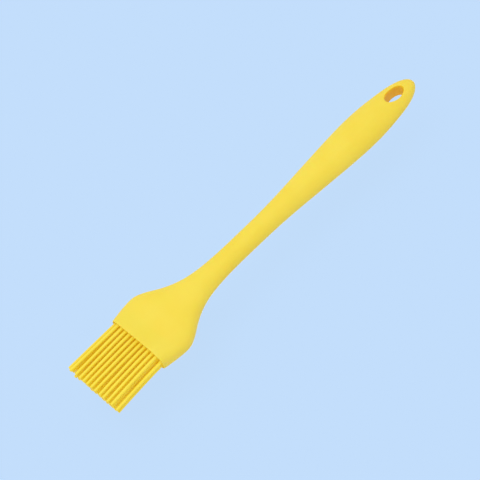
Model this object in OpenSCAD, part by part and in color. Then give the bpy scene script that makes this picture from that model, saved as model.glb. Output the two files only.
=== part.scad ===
// Silicone basting brush: a soft silicone skin moulded over a stiff nylon core, with a tuft of
// round silicone bristles. It lies flat: +X runs along the handle to the hanging hole, the
// bristles point to -X, +Y is across the width, and z = 0 is the surface that it rests on.

/* [Overall] */
// Length from the bristle tips to the end of the handle
overall_len = 210; // [195:1:240]
// Length of bristle that shows in front of the mouth
bristle_show = 29; // [20:1:34]

/* [Head] */
// Width of the head at its mouth
mouth_w = 33.5; // [33.5:0.1:36]
// Greatest width of the head
shoulder_w = 37.4; // [36:0.1:42]
// Thickness between the flats of the head and of the grip, which it rests on
rest_t = 12; // [12:0.1:14]
// Thickness of the head at its mouth
mouth_t = 12; // [12:0.1:12.4]
// Roundness of the lip's outer edge
lip_round = 0.35; // [0.1:0.05:0.35]

/* [Neck and grip] */
// Width of the neck
neck_w = 10.7; // [9.5:0.1:13]
// Thickness of the neck
neck_t = 9.4; // [9:0.1:11]
// Greatest width of the grip
grip_w = 18.6; // [16:0.1:22]

/* [Hanging hole] */
// Length of the oval hole, along the handle
hole_len = 10.8; // [8:0.1:12]
// Width of the oval hole
hole_w = 6.4; // [5:0.1:7.5]
// Silicone left between the hole and the end of the handle
hole_wall = 7; // [5:0.1:8]
// Thickness of the handle at its end
end_t = 8; // [7:0.1:9]

/* [Core] */
// Thickness of the stiff core
core_t = 4; // [3:0.1:5]
// Silicone between the core's edges and the outside
core_cover = 2.7; // [2.2:0.1:3]
// Diameter of the holes that the silicone flows through to lock on the core
flow_hole_d = 3; // [2:0.1:3]

/* [Bristles] */
// Bristles in the top row, and in the bottom row
outer_row_count = 11; // [5:1:11]
// Bristles in each of the two rows between them
inner_row_count = 13; // [7:1:13]
// Distance between bristles in a row
bristle_pitch = 2.5; // [2.3:0.01:2.5]
// Distance between rows
row_pitch = 2.1; // [2.1:0.01:2.15]
// Diameter of a bristle at its root
root_d = 1.6; // [1.4:0.05:1.6]
// Diameter of a bristle at its tip
tip_d = 1.3; // [1:0.05:1.4]
// Angle by which the outermost bristles lean out to the sides
fan = 1.4; // [0:0.1:2]
// Distance from the lip back to the face between the roots
recess = 0.6; // [0.5:0.05:0.8]
// Depth of the mouth, which the tuft's base fills
mouth_depth = 8; // [6:0.5:9]
// Thickness of the lip around the mouth
lip_t = 0.45; // [0.45:0.05:0.5]

/* [Hidden] */
SILICONE = [0.96, 0.87, 0.32];
BRISTLE = [0.95, 0.80, 0.20];
NYLON = [0.90, 0.89, 0.84];

// Points round each ring of the skin, and rings along it.
AROUND = 44;
RINGS = 50;
END_RINGS = 9;

// Cutting shapes reach this far past what they cut.
PAST = 1;

mouth_x = bristle_show - overall_len / 2;
body_len = overall_len - bristle_show;
mid_z = rest_t / 2;

// The skin is this much thicker than the flats before it is cut to them.
flat_cut = 0.2;
full_t = rest_t + 2 * flat_cut;

// Squareness of the cross-section: 2 is an ellipse, and higher is flatter with squarer sides.
LIP_SQ = 3.4;
HEAD_SQ = 2.8;
NECK_SQ = 2.1;
MOUTH_SQ = 3.6;

// The stations below are placed for a body of this length, and stretched to the real one.
DRAWN_LEN = 181;
stretch = body_len / DRAWN_LEN;

// Stations along the body: [distance from the mouth, width, thickness, squareness].
STATIONS = [
    [0, mouth_w, mouth_t, LIP_SQ],
    [8 * stretch, (mouth_w + 3 * shoulder_w) / 4, rest_t + 0.2, 3],
    [14 * stretch, shoulder_w, full_t, HEAD_SQ],
    [20 * stretch, 0.87 * shoulder_w, full_t - 0.2, 2.7],
    [26 * stretch, 0.655 * shoulder_w, 11.3, 2.5],
    [34 * stretch, 0.455 * shoulder_w, 10.3, 2.3],
    [42 * stretch, neck_w + 2.5, 9.8, NECK_SQ],
    [53 * stretch, neck_w + 0.4, neck_t, NECK_SQ],
    [76 * stretch, neck_w, neck_t, NECK_SQ],
    [90 * stretch, neck_w + 0.7, 9.8, NECK_SQ],
    [115 * stretch, 0.81 * grip_w, 11.3, NECK_SQ],
    [131 * stretch, 0.94 * grip_w, full_t - 0.2, NECK_SQ],
    [144 * stretch, grip_w, full_t, NECK_SQ],
    [154 * stretch, 0.97 * grip_w, 11.6, NECK_SQ],
    [165 * stretch, 0.845 * grip_w, end_t + 1.4, 2.2],
    [body_len, 0.61 * grip_w, end_t - 0.4, 2.4]
];

// The handle's end rounds off over this length.
END_LEN = 19;
end_from = body_len - END_LEN;
// How blunt the rounded end is, across its width and through its thickness: 2 is half an ellipse.
END_POINT = 3.1;
END_BLUNT = 7;
// The last ring stops this many degrees round the end, where 90 would close it to a point.
END_STOP = 87;

hole_x = mouth_x + body_len - hole_wall - hole_len / 2;

// The oval hole is made of four arcs: a small one at each end and a large one along each side.
end_arc_r = 0.36 * hole_w;
end_arc_x = hole_len / 2 - end_arc_r;
arc_gap = hole_w / 2 - end_arc_r;
side_arc_y = (end_arc_x ^ 2 - arc_gap ^ 2) / (2 * arc_gap);
side_arc_r = hole_w / 2 + side_arc_y;
// Where the arcs meet, measured along the handle from the hole's middle.
arcs_meet_x = side_arc_r * end_arc_x / (side_arc_r - end_arc_r);

// The core starts at the mouth's floor and its rounded end starts this far before the hanging hole.
CORE_TO_HOLE = 11;
core_x0 = mouth_x + mouth_depth;
core_x1 = hole_x - hole_len / 2 - CORE_TO_HOLE;
CORE_STEPS = 26;
FLOW_HOLES = [15 * stretch, 27 * stretch, 118 * stretch, 136 * stretch];

// Each row turns on round knuckles at its roots, which lie in grooves of the tuft's base.
knuckle_d = 1.7;
knuckle_w = 1.9;
running_gap = 0.05;
groove_end_gap = 0.2;
// The knuckles' middles stand this far in front of the base's face.
KNUCKLE_OUT = 0.3;
block_face_x = mouth_x + recess;
hinge_x = block_face_x - KNUCKLE_OUT;
row_counts = [outer_row_count, inner_row_count, inner_row_count, outer_row_count];
rows = len(row_counts);
// Radius that the tips are rounded to.
TIP_ROUND = 0.35;

function bristle_name(row, k) = str("bristle_", row, "_", k < 10 ? "0" : "", k);
function row_z(row) = mid_z + ((rows + 1) / 2 - row) * row_pitch;
function bristle_y(row, k) = (k - (row_counts[row - 1] + 1) / 2) * bristle_pitch;

// A smooth curve through the stations, for one of their columns.
function step_slope(i, c) =
    (STATIONS[i + 1][c] - STATIONS[i][c]) / (STATIONS[i + 1][0] - STATIONS[i][0]);
function slope(i, c) =
    i == 0 ? step_slope(0, c) :
    i == len(STATIONS) - 1 ? step_slope(i - 1, c) :
    step_slope(i - 1, c) * step_slope(i, c) <= 0 ? 0 :
    (step_slope(i - 1, c) + step_slope(i, c)) / 2;
function span_of(s, i = 0) =
    i >= len(STATIONS) - 2 || s <= STATIONS[i + 1][0] ? i : span_of(s, i + 1);
function hermite(u, h, a, b, da, db) =
    a * (2 * u ^ 3 - 3 * u ^ 2 + 1) + b * (3 * u ^ 2 - 2 * u ^ 3)
    + h * da * (u ^ 3 - 2 * u ^ 2 + u) + h * db * (u ^ 3 - u ^ 2);
function track(s, c, i) =
    let (h = STATIONS[i + 1][0] - STATIONS[i][0])
    hermite((s - STATIONS[i][0]) / h, h, STATIONS[i][c], STATIONS[i + 1][c],
            slope(i, c), slope(i + 1, c));
function at(s, c) = track(s, c, span_of(s));

// One point of a superellipse, at angle a.
function signed_pow(v, p) = sign(v) * abs(v) ^ p;
function oval_point(a, half_w, half_t, sq) =
    [half_w * signed_pow(cos(a), 2 / sq), half_t * signed_pow(sin(a), 2 / sq)];

// Rings of the skin: [distance from the mouth, half width, half thickness, squareness].
function lip_ring(a) =
    let (s = lip_round * (1 - cos(a)), inset = lip_round * (1 - sin(a)))
    [s, at(s, 1) / 2 - inset, at(s, 2) / 2 - inset, LIP_SQ];
function body_ring(s) = [s, at(s, 1) / 2, at(s, 2) / 2, at(s, 3)];
function end_ring(u) =
    let (s = end_from + (body_len - end_from) * u)
    [s, at(s, 1) / 2 * sqrt(1 - u ^ END_POINT), at(s, 2) / 2 * sqrt(1 - u ^ END_BLUNT), at(s, 3)];

skin_rings = concat(
    [for (a = [0, 30, 60]) lip_ring(a)],
    [for (i = [0:RINGS - 1])
        body_ring(lip_round + (end_from - lip_round) * i / (RINGS - 1))],
    [for (i = [1:END_RINGS]) end_ring(sin(END_STOP * i / END_RINGS))]
);

function ring_points(r) =
    [for (i = [0:AROUND - 1])
        let (p = oval_point(360 * i / AROUND, r[1], r[2], r[3]))
        [mouth_x + r[0], p[0], mid_z + p[1]]];

// A closed solid through the rings, each of AROUND points.
module loft(rings) {
    n = len(rings);
    points = [for (r = rings) each ring_points(r)];
    sides = [
        for (j = [0:n - 2]) for (i = [0:AROUND - 1])
            let (a = j * AROUND + i, b = j * AROUND + (i + 1) % AROUND)
            each [[a, b + AROUND, b], [a, a + AROUND, b + AROUND]]
    ];
    front = [for (i = [0:AROUND - 1]) i];
    back = [for (i = [AROUND - 1:-1:0]) (n - 1) * AROUND + i];
    polyhedron(points = points, faces = concat([front], sides, [back]), convexity = 6);
}

// The mouth's hollow, or the base that fills it, between two places along the body.
module mouth_fill(from_x, to_x) {
    outline = [for (i = [0:AROUND - 1])
        oval_point(360 * i / AROUND, mouth_w / 2 - lip_t, mouth_t / 2 - lip_t, MOUTH_SQ)];
    translate([from_x, 0, mid_z])
        rotate([90, 0, 90])
            linear_extrude(to_x - from_x)
                polygon(outline);
}

// The oval of the hanging hole, cut right through.
module hanging_hole() {
    depth = rest_t + 2 * PAST;
    translate([hole_x, 0, -PAST]) {
        for (side = [-1, 1])
            translate([side * end_arc_x, 0, 0])
                cylinder(r = end_arc_r, h = depth, $fn = 48);
        intersection() {
            translate([0, -side_arc_y, 0])
                cylinder(r = side_arc_r, h = depth, $fn = 96);
            translate([0, side_arc_y, 0])
                cylinder(r = side_arc_r, h = depth, $fn = 96);
            translate([-arcs_meet_x, -hole_w, 0])
                cube([2 * arcs_meet_x, 2 * hole_w, depth]);
        }
    }
}

// The core's outline follows the body's, at a constant distance inside it.
module core_plate() {
    edge = [for (i = [0:CORE_STEPS])
        let (x = core_x0 + (core_x1 - core_x0) * i / CORE_STEPS)
        [x, at(x - mouth_x, 1) / 2 - core_cover]];
    other_edge = [for (i = [CORE_STEPS:-1:0]) [edge[i][0], -edge[i][1]]];
    translate([0, 0, mid_z - core_t / 2])
        linear_extrude(core_t)
            polygon(concat(edge, other_edge));
    translate([core_x1, 0, mid_z - core_t / 2])
        cylinder(r = edge[CORE_STEPS][1], h = core_t, $fn = 48);
}

module core_shape() {
    difference() {
        core_plate();
        for (s = FLOW_HOLES)
            translate([mouth_x + s, 0, mid_z - core_t / 2 - PAST])
                cylinder(d = flow_hole_d, h = core_t + 2 * PAST, $fn = 32);
    }
}

// Soft skin: head shell, neck and grip in one moulding.
module handle_skin() {
    color(SILICONE)
        difference() {
            intersection() {
                loft(skin_rings);
                translate([mouth_x - PAST, -shoulder_w, 0])
                    cube([body_len + 2 * PAST, 2 * shoulder_w, rest_t]);
            }
            mouth_fill(mouth_x - PAST, mouth_x + mouth_depth);
            core_shape();
            hanging_hole();
        }
}

// Stiff core inside the handle.
module core() {
    color(NYLON) core_shape();
}

// Base of the tuft, with a round groove for each row.
module bristle_block() {
    color(BRISTLE)
        difference() {
            mouth_fill(block_face_x, mouth_x + mouth_depth);
            for (row = [1:rows])
                translate([hinge_x, 0, row_z(row)])
                    rotate([90, 0, 0])
                        cylinder(
                            d = knuckle_d + 2 * running_gap,
                            h = (row_counts[row - 1] - 1) * bristle_pitch + knuckle_w + 2 * groove_end_gap,
                            center = true, $fn = 48
                        );
        }
}

// One bristle, with the knuckle that it turns on.
module bristle(row, k) {
    length = bristle_show + hinge_x - mouth_x;
    lean = fan * bristle_y(row, k) / bristle_y(2, row_counts[1]);
    profile = concat(
        [[0, 0], [root_d / 2, 0]],
        [for (a = [0:30:90])
            [tip_d / 2 - TIP_ROUND * (1 - cos(a)), length - TIP_ROUND * (1 - sin(a))]],
        [[0, length]]
    );
    color(BRISTLE)
        translate([hinge_x, bristle_y(row, k), row_z(row)]) {
            rotate([90, 0, 0])
                cylinder(d = knuckle_d, h = knuckle_w, center = true, $fn = 32);
            rotate([0, 0, -lean])
                rotate([0, -90, 0])
                    rotate_extrude($fn = 32)
                        polygon(profile);
        }
}

handle_skin();
core();
bristle_block();
for (row = [1:rows], k = [1:row_counts[row - 1]])
    bristle(row, k);
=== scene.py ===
"""The looks of a one-piece silicone basting brush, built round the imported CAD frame.

The axes are the frame's: +X runs along the handle to the hanging hole, the bristle tips are at -X, +Y is
across the width and +Z is up. Shapes are worked out in millimetres and scaled to metres when a mesh is made.
"""

import math

import bmesh
import bpy
import numpy as np
from mathutils import Matrix, Vector


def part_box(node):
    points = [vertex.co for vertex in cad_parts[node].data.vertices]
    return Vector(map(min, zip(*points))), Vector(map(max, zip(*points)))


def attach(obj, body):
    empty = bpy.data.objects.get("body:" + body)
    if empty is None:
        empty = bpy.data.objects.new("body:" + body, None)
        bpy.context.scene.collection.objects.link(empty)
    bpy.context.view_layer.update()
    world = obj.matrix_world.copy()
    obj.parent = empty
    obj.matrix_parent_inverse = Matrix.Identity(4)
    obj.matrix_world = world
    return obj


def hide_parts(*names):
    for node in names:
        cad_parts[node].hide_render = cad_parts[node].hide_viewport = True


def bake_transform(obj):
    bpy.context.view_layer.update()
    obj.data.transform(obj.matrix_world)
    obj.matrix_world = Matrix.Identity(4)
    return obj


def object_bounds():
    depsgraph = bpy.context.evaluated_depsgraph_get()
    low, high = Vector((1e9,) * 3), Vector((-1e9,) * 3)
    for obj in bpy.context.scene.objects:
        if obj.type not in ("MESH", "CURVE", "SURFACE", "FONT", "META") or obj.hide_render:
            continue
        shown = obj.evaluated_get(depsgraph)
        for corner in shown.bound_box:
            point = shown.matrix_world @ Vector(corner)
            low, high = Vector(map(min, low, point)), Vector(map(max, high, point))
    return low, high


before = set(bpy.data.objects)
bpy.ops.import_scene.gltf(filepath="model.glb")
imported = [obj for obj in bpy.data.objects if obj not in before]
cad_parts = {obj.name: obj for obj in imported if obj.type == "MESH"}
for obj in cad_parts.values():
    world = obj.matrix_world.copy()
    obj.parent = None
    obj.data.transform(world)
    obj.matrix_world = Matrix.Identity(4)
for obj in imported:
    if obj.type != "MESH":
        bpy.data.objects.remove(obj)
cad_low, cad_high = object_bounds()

MM = 0.001
SEED = 11


def box_mm(node):
    """Lowest and highest corner of a CAD node, in millimetres."""
    low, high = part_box(node)
    return low / MM, high / MM


# ---- Sizes ---------------------------------------------------------------------------------------

SKIN_LOW, SKIN_HIGH = box_mm("handle_skin")
BLOCK_LOW, BLOCK_HIGH = box_mm("bristle_block")

MOUTH_X = SKIN_LOW.x
BODY_LEN = SKIN_HIGH.x - SKIN_LOW.x
FLAT_T = SKIN_HIGH.z
MID_Z = FLAT_T / 2
TIP_X = cad_low.x / MM

LIP_T = 0.45
MOUTH_W = 2 * (BLOCK_HIGH.y + LIP_T)
SHOULDER_W = 37.4
NECK_W = 10.7
GRIP_W = 18.6

# Stations along the body: distance from the mouth, width, thickness, squareness.
STATIONS = np.array([
    (0, MOUTH_W, 12.0, 3.4),
    (8, (MOUTH_W + 3 * SHOULDER_W) / 4, 12.2, 3.0),
    (14, SHOULDER_W, 12.4, 2.8),
    (20, 0.87 * SHOULDER_W, 12.2, 2.7),
    (26, 0.655 * SHOULDER_W, 11.3, 2.5),
    (34, 0.455 * SHOULDER_W, 10.3, 2.3),
    (42, NECK_W + 2.5, 9.8, 2.1),
    (53, NECK_W + 0.4, 9.4, 2.1),
    (76, NECK_W, 9.4, 2.1),
    (90, NECK_W + 0.7, 9.8, 2.1),
    (115, 0.81 * GRIP_W, 11.3, 2.1),
    (131, 0.94 * GRIP_W, 12.2, 2.1),
    (144, GRIP_W, 12.4, 2.1),
    (154, 0.97 * GRIP_W, 11.6, 2.1),
    (165, 0.845 * GRIP_W, 9.4, 2.2),
    (BODY_LEN, 0.61 * GRIP_W, 7.6, 2.4),
])
END_FROM = BODY_LEN - 19
END_POINT = 3.1
END_BLUNT = 7
FLAT_SOFTNESS = 0.05

HOLE_LEN, HOLE_W, HOLE_WALL = 10.8, 6.4, 7.0
HOLE_AT = BODY_LEN - HOLE_WALL - HOLE_LEN / 2
HOLE_RIM = 0.7
# The oval hole is made of four arcs: a small one at each end and a large one along each side.
END_ARC_R = 0.36 * HOLE_W
END_ARC_X = HOLE_LEN / 2 - END_ARC_R
ARC_GAP = HOLE_W / 2 - END_ARC_R
SIDE_ARC_Y = (END_ARC_X**2 - ARC_GAP**2) / (2 * ARC_GAP)
SIDE_ARC_R = HOLE_W / 2 + SIDE_ARC_Y

ROW_COUNTS = (11, 13, 13, 11)
BRISTLE_PITCH = 2.5
ROOT_D, TIP_D = 1.66, 1.44


# ---- The body's shape ----------------------------------------------------------------------------

def hermite(column, s):
    """A smooth curve through one column of the stations, at the distances s."""
    at, value = STATIONS[:, 0], STATIONS[:, column]
    step = np.diff(value) / np.diff(at)
    slope = np.concatenate([[step[0]], (step[:-1] + step[1:]) / 2, [step[-1]]])
    slope[1:-1][step[:-1] * step[1:] <= 0] = 0
    i = np.clip(np.searchsorted(at, s, side="right") - 1, 0, len(at) - 2)
    h = at[i + 1] - at[i]
    u = (s - at[i]) / h
    return (
        value[i] * (2 * u**3 - 3 * u**2 + 1)
        + value[i + 1] * (3 * u**2 - 2 * u**3)
        + h * slope[i] * (u**3 - 2 * u**2 + u)
        + h * slope[i + 1] * (u**3 - u**2)
    )


def track(column, step=0.25, spread=1.5):
    """The same curve smoothed with a bell of the given spread, as a function of the distance."""
    s = np.arange(0, BODY_LEN + step / 2, step)
    value = hermite(column, s)
    pad = int(4 * spread / step)
    before = 2 * value[0] - value[pad:0:-1]
    after = 2 * value[-1] - value[-2:-pad - 2:-1]
    weight = np.exp(-0.5 * (np.arange(-pad, pad + 1) * step / spread) ** 2)
    even = np.convolve(np.concatenate([before, value, after]), weight / weight.sum(), "valid")
    return lambda q: np.interp(q, s, even)


width_at, thickness_at, squareness_at = track(1), track(2), track(3)


def section(s):
    """Half width, half thickness and squareness of the body at the distances s from the mouth."""
    u = np.clip((s - END_FROM) / (BODY_LEN - END_FROM), 0, 1)
    half_w = width_at(s) / 2 * np.sqrt(1 - u**END_POINT)
    half_t = thickness_at(s) / 2 * np.sqrt(1 - u**END_BLUNT)
    return half_w, half_t, squareness_at(s)


def flattened(z):
    """Heights above the middle plane, eased into the flats that the brush rests on."""
    over = (z - FLAT_T / 2) / FLAT_SOFTNESS
    return z - FLAT_SOFTNESS * np.logaddexp(0, over)


def height(s, y):
    """Height of the body's upper surface above its middle plane."""
    half_w, half_t, sq = section(s)
    share = np.clip(np.abs(y) / np.maximum(half_w, 1e-9), 0, 1)
    return flattened(half_t * (1 - share**sq) ** (1 / sq)) - flattened(np.zeros(1))


FINE_STEPS = 1500


def oval(half_w, half_t, sq, count):
    """Points (y, z) of a superellipse, evenly spaced in each quarter, from +Y round by the top."""
    a = np.linspace(0, math.pi / 2, FINE_STEPS)
    y, z = half_w * np.cos(a) ** (2 / sq), half_t * np.sin(a) ** (2 / sq)
    along = np.concatenate([[0], np.cumsum(np.hypot(np.diff(y), np.diff(z)))])
    even = np.linspace(0, along[-1], count // 4 + 1)
    y, z = np.interp(even, along, y), np.interp(even, along, z)
    ys = np.concatenate([y, -y[-2::-1], -y[1:], y[-2:0:-1]])
    zs = np.concatenate([z, z[-2::-1], -z[1:], -z[-2:0:-1]])
    return np.column_stack([ys, zs])


AROUND = 160


def body_ring(s):
    """The body's outline (y, z) at the distance s from the mouth."""
    half_w, half_t, sq = section(np.array([float(s)]))
    ring = oval(half_w[0], half_t[0], sq[0], AROUND)
    ring[:, 1] = np.sign(ring[:, 1]) * flattened(np.abs(ring[:, 1]))
    return ring


def placed(s, yz):
    """Frame points, in millimetres, of a ring (y, z) at distance s from the mouth."""
    return np.column_stack([np.full(len(yz), MOUTH_X + s), yz[:, 0], MID_Z + yz[:, 1]])


def tube_faces(rings, around):
    """Quads between rings of points that follow each other."""
    faces = []
    for j in range(rings - 1):
        for i in range(around):
            k = (i + 1) % around
            faces.append((j * around + i, j * around + k, (j + 1) * around + k, (j + 1) * around + i))
    return faces


# ---- Meshes --------------------------------------------------------------------------------------

def new_object(name, patches, material, merge=1e-7):
    """One closed, smooth mesh object from patches of (points in millimetres, faces)."""
    mesh = bpy.data.meshes.new(name)
    points, faces, start = [], [], 0
    for patch_points, patch_faces in patches:
        points.append(patch_points)
        faces += [tuple(start + i for i in face) for face in patch_faces]
        start += len(patch_points)
    mesh.from_pydata((np.vstack(points) * MM).tolist(), [], faces)
    bm = bmesh.new()
    bm.from_mesh(mesh)
    bmesh.ops.remove_doubles(bm, verts=bm.verts, dist=merge)
    bmesh.ops.recalc_face_normals(bm, faces=bm.faces)
    for face in bm.faces:
        face.smooth = True
    bm.to_mesh(mesh)
    bm.free()
    mesh.materials.append(material)
    obj = bpy.data.objects.new(name, mesh)
    bpy.context.scene.collection.objects.link(obj)
    return obj


# ---- The silicone skin ---------------------------------------------------------------------------

LIP_OUTER_R, LIP_INNER_R = 0.32, 0.18
MOUTH_SQ = 3.6
MOUTH_DEPTH = BLOCK_HIGH.x - MOUTH_X
MOUTH_STEPS = 8
# The rings round the body end here, and the tail with its hole goes on.
JOIN_BEFORE_HOLE = 6
JOIN_AT = HOLE_AT - HOLE_LEN / 2 - JOIN_BEFORE_HOLE
RING_STEP = 0.8
BEND_STEPS = 8


def quarter_turn(steps):
    """Evenly spaced angles from 0 to 90 degrees."""
    return np.linspace(0, math.pi / 2, steps + 1)


def mouth_rings():
    """Rings from the mouth's floor out along its wall and round the lip, as (distance, ring)."""
    outer = body_ring(0)
    inner = oval(BLOCK_HIGH.y, BLOCK_HIGH.z - MID_Z, MOUTH_SQ, AROUND)
    rings = [(s, inner) for s in np.linspace(MOUTH_DEPTH, LIP_INNER_R, MOUTH_STEPS + 1)]
    for a in quarter_turn(BEND_STEPS)[1:]:
        share = 1 - LIP_INNER_R * (1 - math.cos(a)) / LIP_T
        rings.append((LIP_INNER_R * (1 - math.sin(a)), outer + (inner - outer) * share))
    for a in quarter_turn(BEND_STEPS)[::-1][:-1]:
        share = LIP_OUTER_R * (1 - math.cos(a)) / LIP_T
        rings.append((LIP_OUTER_R * (1 - math.sin(a)), outer + (inner - outer) * share))
    return rings


def body_rings():
    """Rings from the lip to the join, as (distance, ring)."""
    steps = int((JOIN_AT - LIP_OUTER_R) / RING_STEP)
    return [(s, body_ring(s)) for s in np.linspace(LIP_OUTER_R, JOIN_AT, steps + 1)]


SIDE_POINTS = 60
SHEET_STEPS = 26
RIM_STEPS = 8
WALL_STEPS = 10
# The tail's points crowd towards its edge where the body is steep: along the outline and at the join's ends.
EDGE_CLUSTER = 2.2
CLUSTER_POWER = 8
OUTLINE_STEPS = 4000


def side_outline():
    """Points (s, y) of one side of the tail's outline, evenly spaced from the join to the very end."""
    q = np.linspace(0, 1, OUTLINE_STEPS)
    s = JOIN_AT + (BODY_LEN - JOIN_AT) * (1 - (1 - q) ** 2)
    y = section(s)[0]
    along = np.concatenate([[0], np.cumsum(np.hypot(np.diff(s), np.diff(y)))])
    even = np.linspace(0, along[-1], SIDE_POINTS + 1)
    return np.column_stack([np.interp(even, along, s), np.interp(even, along, y)])


def tail_boundary():
    """Points (s, y, z) round the tail's upper sheet, and how strongly each point's column is clustered.

    The points go across the join, then round the outline.
    """
    join = body_ring(JOIN_AT)[:AROUND // 2 + 1]
    across = np.column_stack([np.full(len(join), JOIN_AT), join])
    side = side_outline()[1:]
    near = np.column_stack([side[:, 0], -side[:, 1], np.zeros(len(side))])
    far = np.column_stack([side[-2::-1, 0], side[-2::-1, 1], np.zeros(len(side) - 1)])
    join_steepness = (np.abs(join[:, 0]) / join[0, 0]) ** CLUSTER_POWER
    steepness = np.concatenate([join_steepness, np.ones(len(near) + len(far))])
    return np.vstack([across, near, far]), 1 + (EDGE_CLUSTER - 1) * steepness


def nearest_on_hole(plan):
    """The hole's nearest points to the points (s, y), and the directions from there to them."""
    x, y = plan[:, 0] - HOLE_AT, plan[:, 1]
    along_side = np.abs(x) * SIDE_ARC_Y < (np.abs(y) + SIDE_ARC_Y) * END_ARC_X
    centre_x = np.where(along_side, 0, np.sign(x) * END_ARC_X)
    centre_y = np.where(along_side, -np.sign(y) * SIDE_ARC_Y, 0)
    radius = np.where(along_side, SIDE_ARC_R, END_ARC_R)
    away = np.column_stack([x - centre_x, y - centre_y])
    away /= np.linalg.norm(away, axis=1)[:, None]
    centre = np.column_stack([HOLE_AT + centre_x, centre_y])
    return centre + away * radius[:, None], away


def tail_columns():
    """Columns of points over the tail: from its edge over the top, down the hole's wall and back below."""
    edge, cluster = tail_boundary()
    plan = edge[:, :2]
    wall, away = nearest_on_hole(plan)
    rim = wall + away * HOLE_RIM
    rows = [edge]
    for k in range(1, SHEET_STEPS + 1):
        at = plan + (rim - plan) * ((k / SHEET_STEPS) ** cluster)[:, None]
        rows.append(np.column_stack([at, height(at[:, 0], at[:, 1])]))
    for a in quarter_turn(RIM_STEPS)[1:]:
        at = wall + away * HOLE_RIM * (1 - math.sin(a))
        drop = HOLE_RIM * (1 - math.cos(a))
        rows.append(np.column_stack([at, height(at[:, 0], at[:, 1]) - drop]))
    top = rows[-1]
    for share in np.linspace(1, -1, WALL_STEPS + 1)[1:-1]:
        rows.append(top * [1, 1, share])
    rows += [row * [1, 1, -1] for row in rows[SHEET_STEPS + RIM_STEPS::-1]]
    return np.array(rows)


def tail_patch():
    """The tail's points and faces, the columns joined side by side."""
    rows = tail_columns()
    points = rows.reshape(-1, 3) + [MOUTH_X, 0, MID_Z]
    return points, tube_faces(rows.shape[0], rows.shape[1])


def make_skin(material):
    """The silicone overmould in one closed mesh: mouth, lip, body, tail and hanging hole."""
    rings = mouth_rings() + body_rings()[1:]
    points = np.vstack([placed(s, ring) for s, ring in rings])
    faces = tube_faces(len(rings), AROUND)
    faces.append(tuple(range(AROUND)))
    skin = new_object("silicone_skin", [(points, faces), tail_patch()], material)
    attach(skin, "handle")
    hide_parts("handle_skin")
    return skin


# ---- The tuft ------------------------------------------------------------------------------------

BLOCK_GAP = 0.02
BLOCK_EDGE_R = 0.25
FACE_SHARES = (0.12, 0.3, 0.5, 0.7, 0.85, 0.95)
BLOCK_SIDE_FROM = 1
BLOCK_SIDE_RINGS = 6


def make_block(material):
    """The tuft's base: a plug in the mouth, whose face shows between the roots."""
    half_w, half_t = BLOCK_HIGH.y - BLOCK_GAP, BLOCK_HIGH.z - MID_Z - BLOCK_GAP
    outline = oval(half_w, half_t, MOUTH_SQ, AROUND)
    face_at = BLOCK_LOW.x - MOUTH_X
    rings = [(face_at, outline * share) for share in FACE_SHARES]
    for a in quarter_turn(BEND_STEPS)[::-1]:
        inset = 1 - BLOCK_EDGE_R * (1 - math.cos(a)) / np.array([half_w, half_t])
        rings.append((face_at + BLOCK_EDGE_R * (1 - math.sin(a)), outline * inset))
    side_ends = face_at + BLOCK_SIDE_FROM, MOUTH_DEPTH - BLOCK_GAP
    rings += [(s, outline) for s in np.linspace(*side_ends, BLOCK_SIDE_RINGS)]
    points = np.vstack([placed(s, ring) for s, ring in rings])
    faces = tube_faces(len(rings), AROUND)
    faces.append(tuple(range(AROUND)))
    faces.append(tuple(range((len(rings) - 1) * AROUND, len(rings) * AROUND)))
    block = new_object("tuft_base", [(points, faces)], material)
    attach(block, "handle")
    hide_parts("bristle_block")
    return block


BRISTLE_SIDES = 24
BRISTLE_RINGS = 40
FLARE_STEPS, TIP_STEPS = 6, 5
# The roots start just inside the base's face.
ROOT_INSIDE = 0.05
ROOT_FLARE, FLARE_LEN = 0.32, 0.8
TIP_ROUND = 0.2
SAG = 1.7
FAN_AT_TIP, FAN_POWER = 1.0, 1.3
# How far the tips stray from their places: everywhere, and added towards +Y, where the tuft is rougher.
WOBBLE, FAR_WOBBLE, WOBBLE_LIMIT = 0.16, 0.14, 0.4
HEIGHT_WOBBLE_SHARE = 0.5
# How much shorter the bristles are than the full length, in the same way. A negative number is longer.
LENGTH_SPREAD, FAR_LENGTH_SPREAD, LONGEST, SHORTEST = 0.06, 0.6, -0.6, 1.0
# Each row ends this much before the row above it.
ROW_STEP = 0.24


def bristle_profile(length):
    """Distances from the root and radii of one bristle: flared root, slow taper, blunt tip."""
    flare = FLARE_LEN * (1 - np.cos(quarter_turn(FLARE_STEPS)[:-1]))
    shaft = np.linspace(FLARE_LEN, length - TIP_ROUND, BRISTLE_RINGS)
    turn = quarter_turn(TIP_STEPS)[1:]
    tip = length - TIP_ROUND + TIP_ROUND * np.sin(turn)
    along = np.concatenate([flare, shaft, tip])
    radius = ROOT_D / 2 + (TIP_D - ROOT_D) / 2 * along / length
    swell = np.clip(1 - along / FLARE_LEN, 0, 1)
    radius = radius + ROOT_FLARE * (1 - np.sqrt(1 - swell**2))
    radius[-len(turn):] -= TIP_ROUND * (1 - np.cos(turn))
    return along, radius


def droop(share):
    """Share of the tip's sag at a share of the length, for an even bar held at its root."""
    return (share**4 - 4 * share**3 + 6 * share**2) / 3


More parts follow.
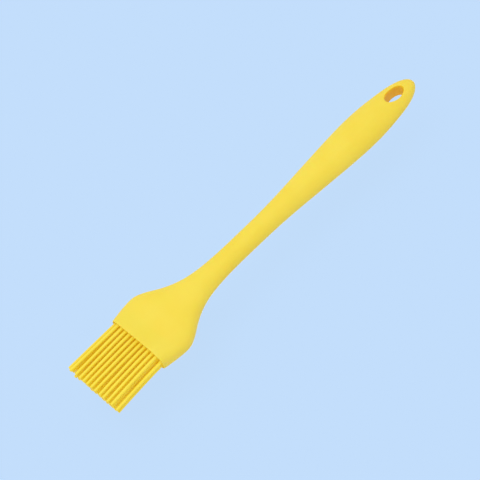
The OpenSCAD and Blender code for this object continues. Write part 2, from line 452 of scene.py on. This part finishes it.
def bristle_mesh_points(root, length, tip_shift):
    """Rings of points of a bristle that leaves root along -X and ends shifted by tip_shift (y, z)."""
    along, radius = bristle_profile(length)
    share = along / length
    line = np.column_stack([
        root[0] - along,
        root[1] + tip_shift[0] * share**FAN_POWER,
        root[2] + tip_shift[1] * droop(share),
    ])
    tangent = np.gradient(line, along, axis=0)
    tangent /= np.linalg.norm(tangent, axis=1)[:, None]
    side = np.cross(tangent, [0, 0, 1])
    side /= np.linalg.norm(side, axis=1)[:, None]
    up = np.cross(side, tangent)
    a = np.linspace(0, 2 * math.pi, BRISTLE_SIDES, endpoint=False)
    rings = [
        c + r * (np.outer(np.cos(a), s) + np.outer(np.sin(a), u))
        for c, r, s, u in zip(line, radius, side, up)
    ]
    return np.vstack(rings), len(rings)


def bristle_place(row, number, random):
    """Where one bristle leaves the base, its length, and how far its tip is shifted in y and z."""
    low, high = box_mm(f"bristle_{row}_{number:02d}")
    y = (number - (ROW_COUNTS[row - 1] + 1) / 2) * BRISTLE_PITCH
    outward = y / ((max(ROW_COUNTS) - 1) / 2 * BRISTLE_PITCH)
    far = max(outward, 0)
    wobble = np.clip(random.normal(0, WOBBLE + FAR_WOBBLE * far, 2), -WOBBLE_LIMIT, WOBBLE_LIMIT)
    shorter = np.clip(random.normal(0, LENGTH_SPREAD + FAR_LENGTH_SPREAD * far**2), LONGEST, SHORTEST)
    root = (BLOCK_LOW.x + ROOT_INSIDE, y, (low.z + high.z) / 2)
    length = root[0] - TIP_X - shorter - ROW_STEP * (row - 1)
    shift = (FAN_AT_TIP * outward + wobble[0], -SAG + HEIGHT_WOBBLE_SHARE * wobble[1])
    return root, length, shift


def make_bristle(row, number, random, material):
    """One bristle of a row, in place of its CAD node."""
    node = f"bristle_{row}_{number:02d}"
    root, length, shift = bristle_place(row, number, random)
    points, rings = bristle_mesh_points(root, length, shift)
    faces = tube_faces(rings, BRISTLE_SIDES)
    faces.append(tuple(range(BRISTLE_SIDES)))
    faces.append(tuple(range((rings - 1) * BRISTLE_SIDES, rings * BRISTLE_SIDES)))
    bristle = new_object(f"silicone_{node}", [(points, faces)], material)
    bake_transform(bristle)
    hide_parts(node)
    return bristle


def make_bristles(material):
    random = np.random.default_rng(SEED)
    for row, count in enumerate(ROW_COUNTS, start=1):
        for number in range(1, count + 1):
            make_bristle(row, number, random, material)


# ---- Materials -----------------------------------------------------------------------------------

def link(tree, source, target):
    """Joins an output socket to an input socket."""
    tree.links.new(source, target)


def new_material(name):
    """A new material, its node tree and its shader."""
    material = bpy.data.materials.new(name)
    material.use_nodes = True
    return material, material.node_tree, material.node_tree.nodes["Principled BSDF"]


def noise(tree, coordinates, scale, detail=2.0, stretch=(1, 1, 1)):
    """A noise texture in object space, scale being in cells per metre."""
    mapping = tree.nodes.new("ShaderNodeMapping")
    mapping.inputs["Scale"].default_value = stretch
    texture = tree.nodes.new("ShaderNodeTexNoise")
    texture.inputs["Scale"].default_value = scale
    texture.inputs["Detail"].default_value = detail
    link(tree, coordinates, mapping.inputs["Vector"])
    link(tree, mapping.outputs["Vector"], texture.inputs["Vector"])
    return texture.outputs["Fac"]


def ramp(tree, factor, low, high, low_at=0.35, high_at=0.65):
    """A colour that goes from low to high as the factor does."""
    node = tree.nodes.new("ShaderNodeValToRGB")
    node.color_ramp.elements[0].position, node.color_ramp.elements[0].color = low_at, (*low, 1)
    node.color_ramp.elements[1].position, node.color_ramp.elements[1].color = high_at, (*high, 1)
    link(tree, factor, node.inputs["Fac"])
    return node.outputs["Color"]


def spread(tree, factor, low, high):
    """A number that goes from low to high as the factor goes from 0.3 to 0.7."""
    node = tree.nodes.new("ShaderNodeMapRange")
    node.inputs["From Min"].default_value = 0.3
    node.inputs["From Max"].default_value = 0.7
    node.inputs["To Min"].default_value = low
    node.inputs["To Max"].default_value = high
    link(tree, factor, node.inputs["Value"])
    return node.outputs["Result"]


def bump(tree, heights, distance, strength):
    """Small bumps of the given height in metres, as a normal."""
    node = tree.nodes.new("ShaderNodeBump")
    node.inputs["Strength"].default_value = strength
    node.inputs["Distance"].default_value = distance
    link(tree, heights, node.inputs["Height"])
    return node.outputs["Normal"]


def object_coordinates(tree):
    """Coordinates that stay with the object, in metres."""
    return tree.nodes.new("ShaderNodeTexCoord").outputs["Object"]


# How far light goes into thick silicone, in metres, and the share of that for red, green and blue.
SCATTER_REACH, SCATTER_COLOUR = 0.0015, (1.0, 0.6, 0.12)
SILICONE_IOR = 1.41
GRAIN_DEPTH = 0.00004
TINT_SCALE, SHEEN_SCALE = 60, 400
# The colour of a painted glow: light that the material gives off itself, in place of what thin silicone
# scatters inside.
SCATTER_GLOW_COLOUR = (1.0, 0.40, 0.0)
# Painted shade: the colour is deepened inside the hole, up to these shares of the hole's length and width.
HOLE_SHADE_TINT, HOLE_SHADE_RANGE = (1.0, 0.84, 0.1), (0.515, 0.555)


def silicone(name, dark, light, roughness, translucency, grain_scale, grain_strength, painted_glow):
    """Silicone rubber: a satin moulded surface that light goes a little way into.

    The colour drifts from dark to light and the roughness between its two values. The grain is in cells per
    metre. The painted glow is light painted on as emission, standing in for what thin silicone scatters
    where it has no translucency.
    """
    material, tree, shader = new_material(name)
    at = object_coordinates(tree)
    link(tree, ramp(tree, noise(tree, at, TINT_SCALE, 3), dark, light), shader.inputs["Base Color"])
    link(tree, spread(tree, noise(tree, at, SHEEN_SCALE, 4), *roughness), shader.inputs["Roughness"])
    grain = bump(tree, noise(tree, at, grain_scale, 3), GRAIN_DEPTH, grain_strength)
    link(tree, grain, shader.inputs["Normal"])
    shader.inputs["Subsurface Weight"].default_value = translucency
    shader.inputs["Subsurface Radius"].default_value = SCATTER_COLOUR
    shader.inputs["Subsurface Scale"].default_value = SCATTER_REACH
    shader.inputs["IOR"].default_value = SILICONE_IOR
    # Painted glow: emission standing in for the light that thin silicone scatters.
    shader.inputs["Emission Color"].default_value = (*SCATTER_GLOW_COLOUR, 1)
    shader.inputs["Emission Strength"].default_value = painted_glow
    return material


def paint_hole_shade(material):
    """Paints shade on the hole's wall: a deeper colour where the light has been reflected often."""
    tree = material.node_tree
    shader = tree.nodes["Principled BSDF"]
    size_x, size_y = HOLE_LEN * MM, HOLE_W * MM
    place = tree.nodes.new("ShaderNodeMapping")
    place.inputs["Scale"].default_value = (1 / size_x, 1 / size_y, 0)
    place.inputs["Location"].default_value = (-(MOUTH_X + HOLE_AT) * MM / size_x, 0, 0)
    link(tree, object_coordinates(tree), place.inputs["Vector"])
    length = tree.nodes.new("ShaderNodeVectorMath")
    length.operation = "LENGTH"
    link(tree, place.outputs["Vector"], length.inputs[0])
    # The hole's painted shade: full on the wall, fading out just outside the rim.
    hole_shade = ramp(tree, length.outputs["Value"], HOLE_SHADE_TINT, (1, 1, 1), *HOLE_SHADE_RANGE)
    shaded_base = tree.nodes.new("ShaderNodeVectorMath")
    shaded_base.operation = "MULTIPLY"
    link(tree, shader.inputs["Base Color"].links[0].from_socket, shaded_base.inputs[0])
    link(tree, hole_shade, shaded_base.inputs[1])
    link(tree, shaded_base.outputs["Vector"], shader.inputs["Base Color"])
    return material


NYLON_DARK, NYLON_LIGHT = (0.74, 0.71, 0.6), (0.84, 0.82, 0.74)
NYLON_ROUGHNESS = (0.5, 0.65)
FIBRE_SCALE, FIBRE_STRETCH, FIBRE_DEPTH = 900, (0.25, 1, 1), 0.00003


def nylon():
    """Natural moulded nylon with short glass fibres."""
    material, tree, shader = new_material("natural_nylon")
    at = object_coordinates(tree)
    fibres = noise(tree, at, FIBRE_SCALE, 5, stretch=FIBRE_STRETCH)
    link(tree, ramp(tree, fibres, NYLON_DARK, NYLON_LIGHT), shader.inputs["Base Color"])
    link(tree, spread(tree, fibres, *NYLON_ROUGHNESS), shader.inputs["Roughness"])
    link(tree, bump(tree, fibres, FIBRE_DEPTH, 0.4), shader.inputs["Normal"])
    return material


def finish_cad_node(node, material):
    """Gives a CAD node that stays its own material."""
    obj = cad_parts[node]
    if not obj.material_slots:
        obj.data.materials.append(material)
    for slot in obj.material_slots:
        slot.material = material


# ---- Floor, light and camera ---------------------------------------------------------------------

FLOOR_Z = -0.02
FLOOR_SIZE = 6.0
FLOOR_BLUE = (0.546, 0.730, 0.973)
# The floor looks lit from behind, apart from the share of it that takes the brush's soft shadow.
FLOOR_GLOW, FLOOR_SHADED = 0.93, 0.07
FILL_COLOUR, FILL_STRENGTH = (1.0, 0.97, 0.93), 0.8
SKY_STRENGTH = 1.0


def coloured(tree, kind, colour, strength=None):
    """The output of a shader node of one colour, and of one strength if it has any."""
    node = tree.nodes.new(kind)
    node.inputs["Color"].default_value = (*colour, 1)
    if strength is not None:
        node.inputs["Strength"].default_value = strength
    return node.outputs[0]


def seen_or_cast(tree, seen, cast, target):
    """Shows one shader to the camera and another to every other ray."""
    path = tree.nodes.new("ShaderNodeLightPath")
    choice = tree.nodes.new("ShaderNodeMixShader")
    link(tree, path.outputs["Is Camera Ray"], choice.inputs["Fac"])
    link(tree, cast, choice.inputs[1])
    link(tree, seen, choice.inputs[2])
    link(tree, choice.outputs[0], target)


def floor_material():
    """Pale blue with a trace of shadow to the camera, and an almost white glow to the brush."""
    material = bpy.data.materials.new("floor_blue")
    material.use_nodes = True
    tree = material.node_tree
    tree.nodes.clear()
    output = tree.nodes.new("ShaderNodeOutputMaterial")
    both = tree.nodes.new("ShaderNodeAddShader")
    link(tree, coloured(tree, "ShaderNodeEmission", FLOOR_BLUE, FLOOR_GLOW), both.inputs[0])
    shaded = [FLOOR_SHADED * c for c in FLOOR_BLUE]
    link(tree, coloured(tree, "ShaderNodeBsdfDiffuse", shaded), both.inputs[1])
    fill = coloured(tree, "ShaderNodeEmission", FILL_COLOUR, FILL_STRENGTH)
    seen_or_cast(tree, both.outputs[0], fill, output.inputs["Surface"])
    return material


def make_floor():
    """A wide plain floor, a little below the brush."""
    mesh = bpy.data.meshes.new("floor")
    half = FLOOR_SIZE / 2
    corners = [(-half, -half), (half, -half), (half, half), (-half, half)]
    mesh.from_pydata([(x, y, FLOOR_Z) for x, y in corners], [], [(0, 1, 2, 3)])
    mesh.materials.append(floor_material())
    floor = bpy.data.objects.new("floor", mesh)
    bpy.context.scene.collection.objects.link(floor)


def make_world():
    """Even light from all round, with the floor's blue behind everything that the camera sees."""
    world = bpy.data.worlds.new("studio")
    bpy.context.scene.world = world
    world.use_nodes = True
    tree = world.node_tree
    tree.nodes.clear()
    output = tree.nodes.new("ShaderNodeOutputWorld")
    light = tree.nodes.new("ShaderNodeBackground")
    light.inputs["Strength"].default_value = SKY_STRENGTH
    seen = coloured(tree, "ShaderNodeBackground", FLOOR_BLUE)
    seen_or_cast(tree, seen, light.outputs[0], output.inputs["Surface"])


# The camera stands at this azimuth and elevation round the brush, and is turned by the roll.
CAMERA_AZIMUTH, CAMERA_ELEVATION, CAMERA_ROLL = -30.0, 57.14, -17.89
CAMERA_DISTANCE = 1.041
CAMERA_LENS, SENSOR_WIDTH = 171.7, 36
# It aims this far to the side of the brush's middle and above it, in metres.
AIM_RIGHT, AIM_UP = -0.00758, -0.00393


def camera_axes():
    """Unit vectors to the picture's right, to its top, and from the brush to the camera."""
    a, e, r = (math.radians(x) for x in (CAMERA_AZIMUTH, CAMERA_ELEVATION, CAMERA_ROLL))
    back = Vector((math.sin(a) * math.cos(e), -math.cos(a) * math.cos(e), math.sin(e)))
    level = Vector((0, 0, 1)).cross(back).normalized()
    upright = back.cross(level)
    right = level * math.cos(r) + upright * math.sin(r)
    up = upright * math.cos(r) - level * math.sin(r)
    return right, up, back


def make_camera():
    """The camera, which looks down on the brush from its -Y side with a long lens."""
    right, up, back = camera_axes()
    middle = Vector((0, 0, MID_Z * MM))
    place = middle + back * CAMERA_DISTANCE
    aim = middle + right * AIM_RIGHT + up * AIM_UP
    z_axis = (place - aim).normalized()
    x_axis = up.cross(z_axis).normalized()
    y_axis = z_axis.cross(x_axis)
    data = bpy.data.cameras.new("camera")
    data.lens = CAMERA_LENS
    data.sensor_width = SENSOR_WIDTH
    camera = bpy.data.objects.new("camera", data)
    turn = Matrix((x_axis, y_axis, z_axis)).transposed()
    camera.matrix_world = Matrix.Translation(place) @ turn.to_4x4()
    bpy.context.scene.collection.objects.link(camera)
    bpy.context.scene.camera = camera


KEY_UP, KEY_LEFT = 0.55, 0.5
KEY_DISTANCE, KEY_SIZE, KEY_ENERGY = 1.3, 0.9, 4
KEY_COLOUR = (1.0, 0.985, 0.95)


def make_key_light():
    """A large soft light from the picture's upper left."""
    right, up, back = camera_axes()
    direction = (back + up * KEY_UP - right * KEY_LEFT).normalized()
    data = bpy.data.lights.new("key", "AREA")
    data.shape = "DISK"
    data.size = KEY_SIZE
    data.energy = KEY_ENERGY
    data.color = KEY_COLOUR
    light = bpy.data.objects.new("key", data)
    light.location = direction * KEY_DISTANCE
    light.rotation_mode = "QUATERNION"
    light.rotation_quaternion = direction.to_track_quat("Z", "Y")
    bpy.context.scene.collection.objects.link(light)


# ---- The whole scene -----------------------------------------------------------------------------

make_camera()
skin_silicone = silicone(
    "satin_silicone",
    dark=(0.93, 0.715, 0.055),
    light=(0.95, 0.745, 0.07),
    roughness=(0.42, 0.52),
    translucency=0.25,
    grain_scale=2600,
    grain_strength=0.35,
    painted_glow=0.0,
)
make_skin(paint_hole_shade(skin_silicone))
bristle_silicone = silicone(
    "bristle_silicone",
    dark=(0.83, 0.71, 0.04),
    light=(0.86, 0.755, 0.055),
    roughness=(0.28, 0.38),
    translucency=0.0,
    grain_scale=3500,
    grain_strength=0.2,
    # The bristles and their base get a faint painted glow in place of the light their thin silicone
    # scatters.
    painted_glow=0.115,
)
make_block(bristle_silicone)
make_bristles(bristle_silicone)
finish_cad_node("core", nylon())
make_floor()
make_world()
make_key_light()
bpy.context.scene.view_settings.view_transform = "Standard"
